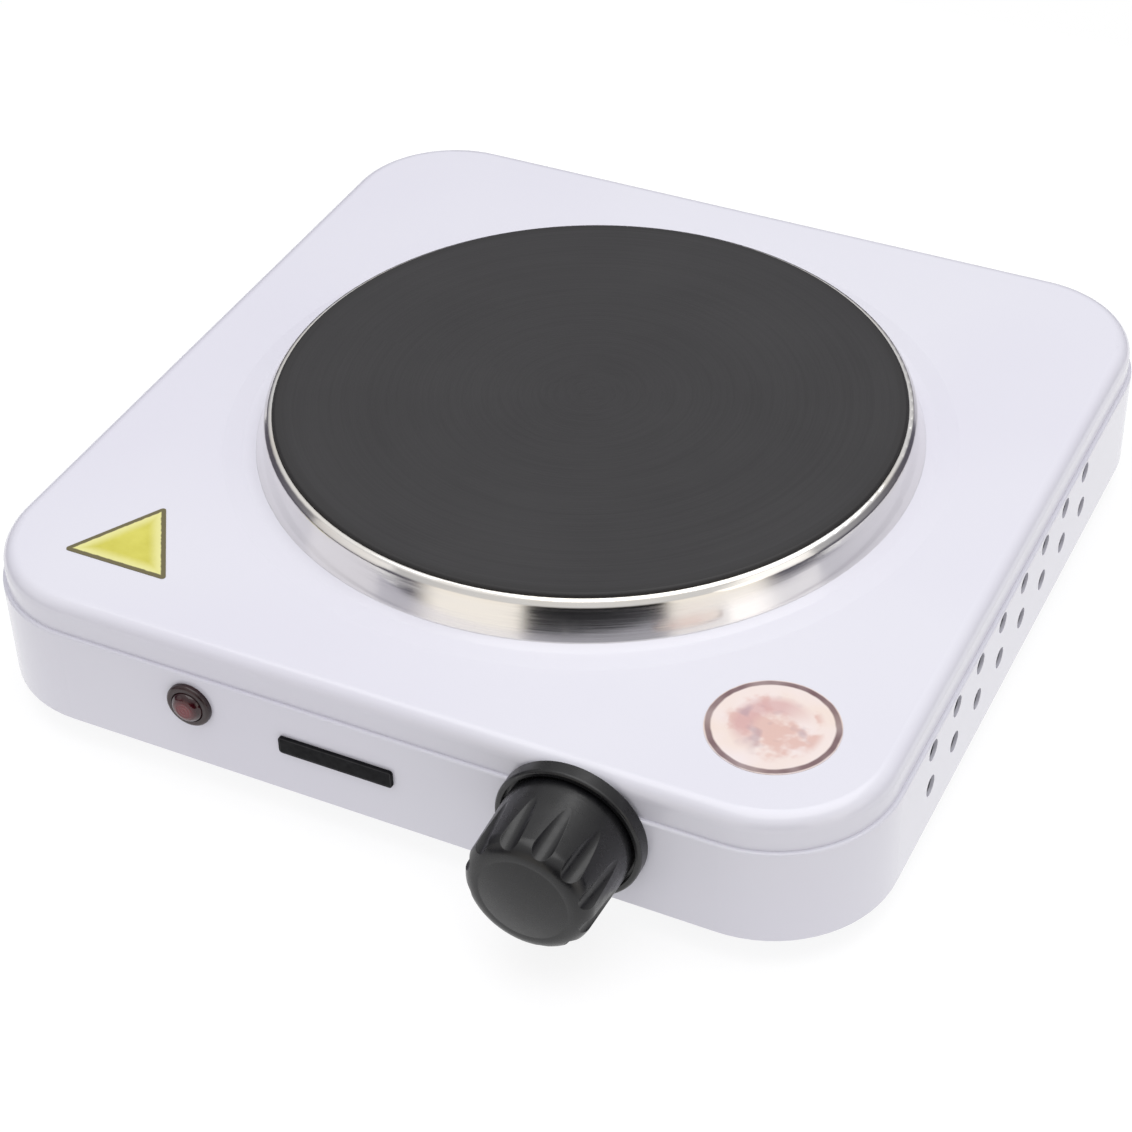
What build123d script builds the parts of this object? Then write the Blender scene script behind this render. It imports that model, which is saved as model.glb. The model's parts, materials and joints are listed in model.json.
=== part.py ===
from build123d import *
import os
from math import radians, tan

# Single electric hot plate. Millimetres, +Z up, the floor at z = 0, the front face towards -Y.
# The origin is on the vertical axis of the cast-iron plate, at the level of the foot soles.

# ---- housing ----
BODY = 225.0                    # side of the square housing
BODY_CORNER = 30.0              # corner radius seen from above
SHEET = 0.8                     # steel sheet of the housing and the base plate
FOOT_HEIGHT = 7.2
FLOOR_TOP = FOOT_HEIGHT + SHEET         # inside face of the base plate and lower edge of the housing
SHELL_HEIGHT = 34.5
SHELL_TOP = FLOOR_TOP + SHELL_HEIGHT
LEDGE_DROP = 8.6                # from the top face down to the ledge round the housing
LEDGE_INSET = 1.0               # how far the part above the ledge stands back
TOP_ROUND = 3.8
PLATEAU_RISE = 0.5              # the pressed circle that the plate stands on
PLATEAU_RADIUS = 88.0
PLATEAU_SLOPE = 5.0             # width of the soft slope round it
PLATEAU_TOP = SHELL_TOP + PLATEAU_RISE
PLATEAU_UNDER = PLATEAU_TOP - SHEET
OPENING_RADIUS = 76.6
VENT_RADIUS = 2.6
VENT_PITCH = 15.8
VENT_COLUMNS = 8
VENT_MIDDLE_Y = -7.4
VENT_ROWS = (FLOOR_TOP + 11.9, FLOOR_TOP + 22.6)

# ---- base plate and feet ----
BASE_INSET = 1.0
FOOT_SPREAD = 80.5              # feet at plus and minus this, in x and y
FOOT_RADIUS = 11.5
FOOT_TAPER = 1.5                # how much narrower the sole is than the top
FOOT_RECESS = 3.2
FOOT_RECESS_RADIUS = 4.8
FOOT_SCREW_RADIUS = 2.0
FOOT_SCREW_LOW = 1.0            # underside of the screw's head, clear of the floor
FOOT_SCREW_TOP = FLOOR_TOP + 6.5
FOOT_SCREW_HEAD = 3.9
M4_FLATS = 7.0
M4_NUT = 3.2
BRACKET_SHEET = 1.2
BRACKET_REACH = 11.0            # from the foot's axis to the edge of the bracket's floor tab
BRACKET_RISE = 16.0
BRACKET_Y = (64.0, 82.0)        # stretch of straight side wall that each corner bracket is welded to
BASE_SLOTS = 12
BASE_SLOT_RADIUS = 50.0
BASE_SLOT = (24.0, 5.0)

# ---- hot plate ----
PLATE_RADIUS = 77.5
PLATE_TOP = SHELL_TOP + 10.8
PLATE_RIM = 3.5                 # height of the rim that the trim ring grips
PLATE_BODY_RADIUS = 76.0
PLATE_THICKNESS = 14.0
PLATE_UNDER = PLATE_TOP - PLATE_THICKNESS
CHANNEL_DEPTH = 8.0
CHANNEL_INNER = 28.0
CHANNEL_OUTER = 66.0
RING_SHEET = 0.5
RING_TOP = PLATE_TOP - 0.8
RING_TOP_RADIUS = 78.5          # outer edge of the flat lip
RING_SHOULDER_RADIUS = 79.7     # where the shoulder below the lip meets the skirt
RING_SHOULDER = RING_TOP - 1.5
RING_FOOT_RADIUS = 82.3
RING_LIP_ROUND = 0.9
RING_SHOULDER_ROUND = 1.5
RING_LIP_INNER_ROUND = 0.15

# ---- heating coil and its terminals ----
COIL_WIRE_RADIUS = 2.2
COIL_START = 34.0               # both ends of the spiral lie on the +Y side
COIL_TURNS = 3
COIL_PITCH = 8.0
COIL_END = COIL_START + COIL_TURNS * COIL_PITCH
COIL_LEVEL = PLATE_UNDER + CHANNEL_DEPTH / 2
COVER_RADIUS = 70.0
COVER_UNDER = PLATE_UNDER - SHEET
PIN_RADIUS = 1.5
PIN_TAIL = 6.5                  # how far the pins reach below the insulator
PIN_CLEAR_RADIUS = 2.6          # holes in the cover for the insulator's collars
COLLAR_RADIUS = 2.5
INSULATOR_WIDTH = 12.0
INSULATOR_END = 5.0             # from each pin's axis to the insulator's end
INSULATOR_HEIGHT = 8.2
INSULATOR_UNDER = COVER_UNDER - INSULATOR_HEIGHT
M3_NUT = 2.4
M3_FLATS = 5.5
TAG_SHEET = 0.8
TAG_BARREL_RADIUS = 1.6
TAG_BARREL = (8.0, 13.0)        # stretch of the crimp barrel, from the hole's axis
TAG_RING_RADIUS = 3.4
EARTH_RING_RADIUS = 4.0
TAG_TOP = INSULATOR_UNDER - M3_NUT

# ---- centre fixing ----
STUD_RADIUS = 3.0
STUD_DEPTH = 6.0                # screwed into the plate
STUD_TAIL = 9.4                 # below the top of the bridge
STUD_NUT = 5.0
M6_FLATS = 10.0
WASHER_RADIUS = 7.0
SHIELD_TOP = COVER_UNDER - STUD_NUT
BRIDGE_TOP = SHIELD_TOP - SHEET
BRIDGE_SHEET = 1.5
BRIDGE_WIDTH = 25.0
BRIDGE_LEG_X = 79.0             # outer face of each leg
BRIDGE_REACH = 98.0
SHIELD_RIM = 4.0                # height of the heat shield's rim
SHIELD_NOTCH = (8.0, 7.0)       # clearance round the insulator, across and beyond each pin

# ---- control: distances "out" are measured from the front face, inwards negative ----
KNOB_X = 49.0
KNOB_Z = FLOOR_TOP + 18.6
BEZEL_RADIUS = 17.5
BEZEL_HEIGHT = 3.6
BEZEL_WEB = 2.0
BEZEL_RECESS_RADIUS = 16.1
KNOB_BASE_RADIUS = 15.4
KNOB_TIP_RADIUS = 14.8
KNOB_BACK = 2.6
KNOB_FRONT = 26.0
KNOB_COLLAR = 3.4               # plain band behind the flutes
KNOB_DOME_RISE = 1.2
KNOB_FLUTES = 12
FLUTE_RADIUS = 2.9
FLUTE_LEAN = 8.3                # degrees: the flutes are deep at the front and run out towards the back
KNOB_EDGE_ROUND = 4.0
KNOB_DOME_RADIUS = 46.0
BUSH_RADIUS = 4.5
BUSH_NOSE = 4.6
BUSH_TAIL = -12.5
BUSH_FLANGE = (-4.0, -2.0)
BUSH_FLATS = 11.5
SHAFT_RADIUS = 3.0
SHAFT_CLEARANCE = 0.04
SHAFT_THREAD_RADIUS = 2.6
CLIP_RADIUS = 5.0
GROOVE_RADIUS = 2.4
SHAFT_FLAT = 2.0                # from the axis to the flat that the knob spring presses on
SPRING_SHEET = 0.4
SPRING_HALF_WIDTH = 1.6
SPRING_REACH = (9.0, 19.0)
HUB_BACK = 7.0
HUB_RADIUS = 5.6
HUB_BORE_END = 19.6
CAVITY_RADIUS = 12.2
KNOB_FRONT_WALL = 5.6
COLLAR_OF_SHAFT = (4.8, 5.6)    # stretch of the shaft's collar, just outside the bush
COLLAR_OF_SHAFT_RADIUS = 4.0
THREAD_END = -26.0
THREAD_START = -14.0
LEG_HALF_GAP = 8.0              # inner faces of the bracket's legs
LEG_END = -28.0                 # the right leg guides the sleeve to here
FRONT_HALF_LENGTH = 14.0
STRIP_HALF_WIDTH = 5.2
SLEEVE_FRONT = -16.5
SLEEVE_BACK = -29.0
SLEEVE_HALF_HEIGHT = 4.4
SLEEVE_WEB = 1.8                # closed end behind the threaded bore
TIP_END = -32.4
TIP_RADIUS = 1.6

# ---- switch stack, in line with the shaft; "u" runs along +X from the knob's axis ----
STACK_U = -24.0
FLEX_U = -18.0                  # the line about which the moving blade bends
BLADE_SHEET = 0.4
BLADE_HALF_WIDTH = 4.0
BLADE_FRONT = -32.5
BLADE_END_U = 9.0
TAB_HALF_WIDTH = 3.15
TAB_LENGTH = 13.0               # from the rivet's axis to the end of the soldering tab
CONTACT_U = 6.0
CONTACT_RADIUS = 2.2
CONTACT_HEIGHT = 0.8
FIXED_BLADE_FRONT = -36.35
BIMETAL_FRONT = -40.8
BIMETAL_SHEET = 0.8
STACK_PLATE_BACK = -21.2
STACK_END = -43.0
SPACER_RADIUS = 5.0
RIVET_RADIUS = 1.5

# ---- pilot lamp, badge, stickers ----
LAMP_X = -47.9
LAMP_Z = FLOOR_TOP + 17.6
LAMP_RADIUS = 5.7
LAMP_TUBE_RADIUS = 4.6
LAMP_TUBE_BACK = -18.0
LENS_RADIUS = 4.1
LENS_FRONT = 3.0
LENS_BACK = -2.0
LAMP_RIM = 1.5
LAMP_CLIP_RADIUS = 6.8
BULB_RADIUS = 2.3
BULB_REACH = (-14.0, -3.0)
BADGE_X = (-24.5, 4.5)
BADGE_Z = (FLOOR_TOP + 12.2, FLOOR_TOP + 16.8)
BADGE_SHEET = 0.8
BADGE_CORNER = 0.8
LABEL_SHEET = 0.15
TRIANGLE_CORNERS = ((-92.4, -93.9), (-64.0, -93.9), (-78.8, -70.3))
ROUND_LABEL_RADIUS = 15.0
ROUND_LABEL_SPOT = (82.4, -82.4)

# ---- mains inlet ----
GLAND_X = -45.0
GLAND_Z = FLOOR_TOP + 14.0
GLAND_BORE = 3.6                # the neck that the cord fits, outside the wall
GLAND_ENTRY = 4.4               # the wider bore from the neck inwards
GLAND_NECK = (1.0, 9.0)
GLAND_THREAD_RADIUS = 6.5
GLAND_TAIL = -10.0
GLAND_FLANGE_RADIUS = 9.0
GLAND_NUT = 4.0
GLAND_FLATS = 17.0
BLOCK_SIZE = (32.0, 16.0, 14.0)
BLOCK_Y = 70.0
POLE_PITCH = 10.0
POLE_Z = FLOOR_TOP + 7.0
POLE_BORE = 2.2
CLAMP_SCREW_RADIUS = 1.5
CLAMP_SCREW_HEAD = (2.3, 1.4)   # radius and height
CLAMP_SCREW_Y = 4.0             # each side of the block's middle
BASE_SCREW_RADIUS = 1.5
BASE_SCREW_CORE = 1.45
BASE_SCREW_HEAD = (2.7, 1.8)
BASE_SCREW_GRIP = 9.0
EARTH_X = -15.0
EARTH_Y = 88.0
LEAD_RADIUS = 1.0
LAMP_LEAD_RADIUS = 0.8
LAMP_LEAD_U = 2.0               # the lamp's two leads, each side of its axis


# ---- helpers ----
def upright(radius, low, high, x=0.0, y=0.0):
    """Vertical cylinder between two heights."""
    return Pos(x, y, (low + high) / 2) * Cylinder(radius, high - low)


def block(x_range, y_range, z_range):
    """Box given by its three ranges."""
    middle = [sum(pair) / 2 for pair in (x_range, y_range, z_range)]
    size = [pair[1] - pair[0] for pair in (x_range, y_range, z_range)]
    return Pos(*middle) * Box(*size)


def turned(corners, rounds=()):
    """Solid of revolution about Z from (radius, height) corners; rounds lists (corner, radius)."""
    profile = make_face(Polyline(*corners, close=True))
    for corner, radius in rounds:
        vertex = profile.vertices().sort_by_distance((corner[0], corner[1], 0))[0]
        profile = fillet(vertex, radius)
    return revolve(Plane.XZ * profile, Axis.Z)


def hex_nut(across_flats, bore, low, high):
    """Hexagonal nut on the Z axis."""
    blank = Pos(0, 0, low) * extrude(RegularPolygon(across_flats / 2, 6, major_radius=False), high - low)
    return blank - upright(bore, low - 1, high + 1)


def front_plane(x, z):
    """Plane on the front face: local x is +X, local y is +Z and local z points out of the housing."""
    return Plane(origin=(x, -BODY / 2, z), x_dir=(1, 0, 0), z_dir=(0, -1, 0))


def rear_plane(x, z):
    """Plane on the rear face: local z points out of the housing."""
    return Plane(origin=(x, BODY / 2, z), x_dir=(-1, 0, 0), z_dir=(0, 1, 0))


def four_corners(solid):
    """Copies of a solid made for the +X +Y corner, mirrored into all four corners."""
    right = [solid, mirror(solid, Plane.XZ)]
    return right + [mirror(piece, Plane.YZ) for piece in right]


def tube(points, radius):
    """Round lead along straight runs joined by tangent arcs, each as large as its two runs allow."""
    spots = [Vector(*point) for point in points]
    radii = []
    for before, here, after in zip(spots, spots[1:], spots[2:]):
        turn = radians((here - before).get_angle(after - here))
        shorter = min((here - before).length, (after - here).length)
        radii.append(0.45 * shorter / tan(turn / 2))
    path = FilletPolyline(*points, radius=radii)
    return sweep(Plane(origin=path @ 0, z_dir=path % 0) * Circle(radius), path=path)


CONTROL = front_plane(KNOB_X, KNOB_Z)
LAMP = front_plane(LAMP_X, LAMP_Z)
GLAND = rear_plane(GLAND_X, GLAND_Z)
BRACKET_PIP_U = 11.5
BRACKET_PIP_RADIUS = 1.2


# ---- housing and base ----
def rounded_square(side, corner, low, high):
    """Vertical block, square with rounded corners."""
    return Pos(0, 0, low) * extrude(RectangleRounded(side, side, corner), high - low)


def housing_form(offset):
    """Solid outer form of the housing, shrunk inwards by the offset."""
    ledge = SHELL_TOP - LEDGE_DROP - offset
    shrink = 2 * offset
    lower = rounded_square(BODY - shrink, BODY_CORNER - offset, FLOOR_TOP, ledge)
    lower = fillet(lower.edges().group_by(Axis.Z)[-1], 0.6)
    narrow = BODY - 2 * LEDGE_INSET - shrink
    upper = rounded_square(narrow, BODY_CORNER - LEDGE_INSET - offset, FLOOR_TOP, SHELL_TOP - offset)
    upper = fillet(upper.edges().group_by(Axis.Z)[-1], TOP_ROUND - offset)
    plateau = PLATEAU_RADIUS - offset
    rise = Pos(0, 0, SHELL_TOP - offset + PLATEAU_RISE / 2) * Cone(
        plateau + PLATEAU_SLOPE / 2, plateau - PLATEAU_SLOPE / 2, PLATEAU_RISE)
    return lower + upper + rise


def vent_rows():
    """Round vent holes through both side walls, two rows of equal columns."""
    first = VENT_MIDDLE_Y - VENT_PITCH * (VENT_COLUMNS - 1) / 2
    drills = []
    for level in VENT_ROWS:
        for column in range(VENT_COLUMNS):
            drills.append(Pos(0, first + column * VENT_PITCH, level) * Rot(0, 90, 0)
                          * Cylinder(VENT_RADIUS, BODY + 10))
    return drills


def housing():
    shell = housing_form(0) - housing_form(SHEET)
    shell -= upright(OPENING_RADIUS, SHELL_TOP - 5, SHELL_TOP + 5)
    shell -= CONTROL * upright(BUSH_RADIUS + 0.1, -5, 5)
    for side in (-1, 1):
        shell -= CONTROL * upright(BRACKET_PIP_RADIUS + 0.1, -5, 5, side * BRACKET_PIP_U)
    shell -= LAMP * upright(LAMP_TUBE_RADIUS + 0.1, -5, 5)
    shell -= GLAND * upright(GLAND_THREAD_RADIUS + 0.1, -5, 5)
    return shell - vent_rows()


def base_plate():
    side = BODY - 2 * BASE_INSET
    plate = rounded_square(side, BODY_CORNER - BASE_INSET, FOOT_HEIGHT, FLOOR_TOP)
    plate -= four_corners(upright(FOOT_SCREW_RADIUS + 0.2, 0, 10, FOOT_SPREAD, FOOT_SPREAD))
    slot = Pos(BASE_SLOT_RADIUS, 0, FOOT_HEIGHT - 1) * extrude(SlotOverall(*BASE_SLOT), 3)
    plate -= [Rot(0, 0, 360 / BASE_SLOTS * index) * slot for index in range(BASE_SLOTS)]
    for x, y in base_screw_spots():
        plate -= upright(BASE_SCREW_RADIUS, 0, FLOOR_TOP + 1, x, y)
    return plate


def corner_brackets():
    inner_wall = BODY / 2 - SHEET
    around = (FOOT_SPREAD - BRACKET_REACH, FOOT_SPREAD + BRACKET_REACH)
    tab_top = FLOOR_TOP + BRACKET_SHEET
    piece = block(around, (BRACKET_Y[0], around[1]), (FLOOR_TOP, tab_top))
    piece += block((around[0], inner_wall), BRACKET_Y, (FLOOR_TOP, tab_top))
    piece += block((inner_wall - BRACKET_SHEET, inner_wall), BRACKET_Y, (FLOOR_TOP, FLOOR_TOP + BRACKET_RISE))
    piece -= upright(FOOT_SCREW_RADIUS + 0.1, 0, 20, FOOT_SPREAD, FOOT_SPREAD)
    return four_corners(piece)


def foot():
    """Rubber foot on the Z axis, hollow below for the screw head."""
    sole = FOOT_RADIUS - FOOT_TAPER
    bore = FOOT_SCREW_RADIUS + 0.1
    return turned([(FOOT_RECESS_RADIUS, 0), (sole, 0), (FOOT_RADIUS, FOOT_HEIGHT), (bore, FOOT_HEIGHT),
                   (bore, FOOT_RECESS), (FOOT_RECESS_RADIUS, FOOT_RECESS)], [((sole, 0), FOOT_TAPER)])


def cross_recess(reach, low, high):
    """Cross that a screwdriver fits, on the Z axis."""
    bar = block((-reach, reach), (-0.5, 0.5), (low, high))
    return bar + Rot(0, 0, 90) * bar


def foot_screws():
    head = fillet(upright(FOOT_SCREW_HEAD, FOOT_SCREW_LOW, FOOT_RECESS).edges().group_by(Axis.Z)[0], 0.8)
    head -= cross_recess(3.0, 0, FOOT_SCREW_LOW + 0.8)
    screw = head + upright(FOOT_SCREW_RADIUS, FOOT_RECESS, FOOT_SCREW_TOP)
    return four_corners(Pos(FOOT_SPREAD, FOOT_SPREAD, 0) * screw)


def foot_nuts():
    low = FLOOR_TOP + BRACKET_SHEET
    nut = hex_nut(M4_FLATS, FOOT_SCREW_RADIUS, low, low + M4_NUT)
    return four_corners(Pos(FOOT_SPREAD, FOOT_SPREAD, 0) * nut)


# ---- hot plate ----
def hotplate():
    rim_under = PLATE_TOP - PLATE_RIM
    disc = turned([(0, PLATE_TOP), (PLATE_RADIUS, PLATE_TOP), (PLATE_RADIUS, rim_under),
                   (PLATE_BODY_RADIUS, rim_under), (PLATE_BODY_RADIUS, PLATE_UNDER), (0, PLATE_UNDER)],
                  [((PLATE_RADIUS, PLATE_TOP), 0.9), ((PLATE_BODY_RADIUS, PLATE_UNDER), 1.0)])
    disc -= channel_ring(CHANNEL_DEPTH)
    return disc - upright(STUD_RADIUS, PLATE_UNDER - 1, PLATE_UNDER + STUD_DEPTH)


def channel_ring(depth):
    outer = upright(CHANNEL_OUTER, PLATE_UNDER, PLATE_UNDER + depth)
    return outer - upright(CHANNEL_INNER, PLATE_UNDER - 1, PLATE_UNDER + depth + 1)


def trim_ring():
    """Rolled stainless ring: a seat under the plate's rim, a riser, a lip, a shoulder and a sloping skirt."""
    seat = PLATE_TOP - PLATE_RIM
    inner = PLATE_RADIUS + 0.05
    seat_edge = PLATE_BODY_RADIUS + 0.1
    return turned([
        (RING_FOOT_RADIUS - RING_SHEET, PLATEAU_TOP), (RING_FOOT_RADIUS, PLATEAU_TOP),
        (RING_SHOULDER_RADIUS, RING_SHOULDER), (RING_TOP_RADIUS, RING_TOP), (inner, RING_TOP),
        (inner, seat), (seat_edge, seat), (seat_edge, seat - RING_SHEET),
        (inner + RING_SHEET, seat - RING_SHEET), (inner + RING_SHEET, RING_TOP - 1.2 * RING_SHEET),
        (RING_SHOULDER_RADIUS - 1.2 * RING_SHEET, RING_SHOULDER - RING_SHEET / 2)],
        [((RING_SHOULDER_RADIUS, RING_SHOULDER), RING_SHOULDER_ROUND),
         ((RING_TOP_RADIUS, RING_TOP), RING_LIP_ROUND), ((inner, RING_TOP), RING_LIP_INNER_ROUND)])


def heating_coil():
    """Flat spiral of half circles, each joined to the next in line, with both ends on the +Y side."""
    runs = []
    for half_turn in range(2 * COIL_TURNS):
        near = COIL_START + half_turn * COIL_PITCH / 2
        far = near + COIL_PITCH / 2
        side = 1 if half_turn % 2 == 0 else -1
        middle = side * (near - far) / 2
        runs.append(CenterArc((0, middle), (near + far) / 2, 90 * side, 180))
    path = Pos(0, 0, COIL_LEVEL) * Wire(runs)
    coil = sweep(Plane(origin=path @ 0, z_dir=path % 0) * Circle(COIL_WIRE_RADIUS), path=path)
    return coil - pin_cylinders(PIN_RADIUS)


def pin_cylinders(radius):
    return [upright(radius, INSULATOR_UNDER - PIN_TAIL, COIL_LEVEL, 0, y) for y in (COIL_START, COIL_END)]


def insulation_fill():
    return channel_ring(CHANNEL_DEPTH) - heating_coil() - pin_cylinders(PIN_RADIUS)


def element_cover():
    disc = upright(COVER_RADIUS, COVER_UNDER, PLATE_UNDER) - stud_clearance()
    return disc - pin_cylinders(PIN_CLEAR_RADIUS)


def terminal_insulator():
    middle = (COIL_START + COIL_END) / 2
    length = COIL_END - COIL_START + 2 * INSULATOR_END
    outline = Pos(0, middle, INSULATOR_UNDER) * RectangleRounded(INSULATOR_WIDTH, length, 4)
    body = extrude(outline, INSULATOR_HEIGHT)
    for y in (COIL_START, COIL_END):
        body += upright(COLLAR_RADIUS, COVER_UNDER, PLATE_UNDER, 0, y)
    return body - pin_cylinders(PIN_RADIUS)


def terminal_nuts():
    upper = hex_nut(M3_FLATS, PIN_RADIUS, TAG_TOP, INSULATOR_UNDER)
    lower = hex_nut(M3_FLATS, PIN_RADIUS, TAG_TOP - TAG_SHEET - M3_NUT, TAG_TOP - TAG_SHEET)
    return [Pos(0, y, 0) * nut for y in (COIL_START, COIL_END) for nut in (upper, lower)]


def ring_tag(bore, ring_radius):
    """Crimp tag lying on its underside at z = 0, with the barrel towards +X."""
    start, end = TAG_BARREL
    tag = upright(ring_radius, 0, TAG_SHEET) + block((0, start + 0.5), (-1.5, 1.5), (0, TAG_SHEET))
    along = Pos(0, 0, TAG_BARREL_RADIUS) * Rot(0, 90, 0)
    tag += along * upright(TAG_BARREL_RADIUS, start, end)
    tag -= along * upright(LEAD_RADIUS, start + 0.7, end + 0.1)
    return tag - upright(bore, -1, 2)


def element_tags():
    tag = Pos(0, 0, TAG_TOP - TAG_SHEET) * ring_tag(PIN_RADIUS, TAG_RING_RADIUS)
    return [Pos(0, COIL_START, 0) * tag, Pos(0, COIL_END, 0) * Rot(0, 0, 180) * tag]


# ---- centre fixing ----
def stud_clearance():
    """Drill for the holes that the stud passes through."""
    return upright(STUD_RADIUS + 0.1, 0, PLATE_TOP)


def centre_stud():
    return chamfer(upright(STUD_RADIUS, BRIDGE_TOP - STUD_TAIL, PLATE_UNDER + STUD_DEPTH).edges(), 0.4)


def stud_nuts():
    low = BRIDGE_TOP - BRIDGE_SHEET - SHEET
    return [hex_nut(M6_FLATS, STUD_RADIUS, SHIELD_TOP, COVER_UNDER),
            hex_nut(M6_FLATS, STUD_RADIUS, low - STUD_NUT, low)]


def stud_washer():
    high = BRIDGE_TOP - BRIDGE_SHEET
    return upright(WASHER_RADIUS, high - SHEET, high) - stud_clearance()


def mounting_bridge():
    """Strip under the opening: its ends press up against the housing, its middle hangs on the stud."""
    across = (-BRIDGE_WIDTH / 2, BRIDGE_WIDTH / 2)
    low = BRIDGE_TOP - BRIDGE_SHEET
    pad_top = SHELL_TOP - SHEET
    strip = block((-BRIDGE_LEG_X, BRIDGE_LEG_X), across, (low, BRIDGE_TOP))
    for side in (-1, 1):
        leg = sorted((side * (BRIDGE_LEG_X - BRIDGE_SHEET), side * BRIDGE_LEG_X))
        pad = sorted((side * (BRIDGE_LEG_X - BRIDGE_SHEET), side * BRIDGE_REACH))
        strip += block(leg, across, (low, pad_top))
        strip += block(pad, across, (pad_top - BRIDGE_SHEET, pad_top))
    return strip - stud_clearance()


def heat_shield():
    low = SHIELD_TOP - SHEET
    rim = COVER_RADIUS
    bore = STUD_RADIUS + 0.1
    dish = turned([(bore, low), (rim, low), (rim, low + SHIELD_RIM), (rim - SHEET, low + SHIELD_RIM),
                   (rim - SHEET, SHIELD_TOP), (bore, SHIELD_TOP)])
    half_width, beyond = SHIELD_NOTCH
    return dish - block((-half_width, half_width), (COIL_START - beyond, COIL_END + beyond),
                        (low - 1, SHIELD_TOP + 1))


# ---- control ----
def knob():
    back = KNOB_BACK
    wall_start = back + KNOB_COLLAR
    edge = KNOB_FRONT - KNOB_DOME_RISE
    body = turned([(0, back), (KNOB_BASE_RADIUS, back), (KNOB_BASE_RADIUS, wall_start),
                   (KNOB_TIP_RADIUS, edge), (0, edge)], [((KNOB_TIP_RADIUS, edge), KNOB_EDGE_ROUND)])
    dome = Pos(0, 0, KNOB_FRONT - KNOB_DOME_RADIUS) * Rot(90, 0, 0) * Sphere(KNOB_DOME_RADIUS)
    dome &= upright(KNOB_TIP_RADIUS - KNOB_EDGE_ROUND - 0.3, edge - 3, KNOB_FRONT + 1)
    body += dome
    flute = Pos(KNOB_TIP_RADIUS + 1.0, 0, KNOB_FRONT) * Rot(0, -FLUTE_LEAN, 0) * Cylinder(FLUTE_RADIUS, 40)
    body -= [Rot(0, 0, 360 / KNOB_FLUTES * (index + 0.5)) * flute for index in range(KNOB_FLUTES)]
    cavity = upright(CAVITY_RADIUS, back - 1, KNOB_FRONT - KNOB_FRONT_WALL)
    cavity -= upright(HUB_RADIUS, HUB_BACK, KNOB_FRONT)
    rib = block((-CAVITY_RADIUS - 0.8, CAVITY_RADIUS + 0.8), (-0.6, 0.6), (HUB_BACK + 2, KNOB_FRONT))
    body -= cavity - rib - Rot(0, 0, 90) * rib
    bore = upright(SHAFT_RADIUS + 0.02, 0, HUB_BORE_END)
    bore -= block((-5, 5), (SHAFT_FLAT + SPRING_SHEET, 5), (-1, HUB_BORE_END + 1))
    return CONTROL * (body - bore)


def knob_spring():
    across = (-SPRING_HALF_WIDTH, SPRING_HALF_WIDTH)
    return CONTROL * block(across, (SHAFT_FLAT, SHAFT_FLAT + SPRING_SHEET), SPRING_REACH)


def knob_bezel():
    bezel = turned([(BUSH_RADIUS + 0.1, 0), (BEZEL_RADIUS, 0), (BEZEL_RADIUS, BEZEL_HEIGHT),
                    (BEZEL_RECESS_RADIUS, BEZEL_HEIGHT), (BEZEL_RECESS_RADIUS, BEZEL_WEB),
                    (BUSH_RADIUS + 0.1, BEZEL_WEB)], [((BEZEL_RADIUS, BEZEL_HEIGHT), 0.7)])
    for side in (-1, 1):
        bezel -= upright(BRACKET_PIP_RADIUS + 0.1, -1, 0.9, side * BRACKET_PIP_U)
    return CONTROL * bezel


def control_shaft():
    """Steel shaft: D-shaped end for the knob, a collar before the bush and a threaded tail."""
    shaft = upright(SHAFT_RADIUS, THREAD_START, HUB_BORE_END - 0.1)
    shaft += upright(COLLAR_OF_SHAFT_RADIUS, *COLLAR_OF_SHAFT)
    shaft += upright(SHAFT_THREAD_RADIUS, THREAD_END, THREAD_START)
    shaft -= block((-5, 5), (SHAFT_FLAT, 5), (HUB_BACK - 0.2, HUB_BORE_END + 1))
    return CONTROL * (shaft - clip_ring())


def clip_ring():
    """The space that the retaining clip fills, groove included."""
    return upright(CLIP_RADIUS, BUSH_TAIL - 1.0, BUSH_TAIL - 0.2) - upright(GROOVE_RADIUS, 2 * BUSH_TAIL, 0)


def shaft_clip():
    mouth = block((-1.6, 1.6), (0, CLIP_RADIUS + 1), (2 * BUSH_TAIL, 0))
    return CONTROL * (clip_ring() - mouth)


def shaft_bush():
    bush = upright(BUSH_RADIUS, BUSH_TAIL, BUSH_NOSE) + upright(STRIP_HALF_WIDTH, *BUSH_FLANGE)
    return CONTROL * (bush - upright(SHAFT_RADIUS + SHAFT_CLEARANCE, -30, 30))


def bush_nut():
    return CONTROL * hex_nut(BUSH_FLATS, BUSH_RADIUS, BEZEL_WEB, BUSH_NOSE - 0.2)


def control_bracket():
    """One folded strip: right leg, front plate, left leg and the plate that carries the stack."""
    width = (-STRIP_HALF_WIDTH, STRIP_HALF_WIDTH)
    front = (-SHEET - BRACKET_SHEET, -SHEET)
    leg = (LEG_HALF_GAP, LEG_HALF_GAP + BRACKET_SHEET)
    strip = block((-FRONT_HALF_LENGTH, FRONT_HALF_LENGTH), width, front)
    strip += block(leg, width, (LEG_END, front[1]))
    strip += block((-leg[1], -leg[0]), width, (STACK_PLATE_BACK, front[1]))
    strip += block((STACK_U - 7, -leg[0]), width, (STACK_PLATE_BACK, STACK_PLATE_BACK + BRACKET_SHEET))
    strip -= upright(BUSH_RADIUS, -10, 0)
    strip -= upright(RIVET_RADIUS, -30, -10, STACK_U)
    for side in (-1, 1):
        strip += upright(BRACKET_PIP_RADIUS, front[1], 0.6, side * BRACKET_PIP_U)
    return CONTROL * strip


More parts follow.
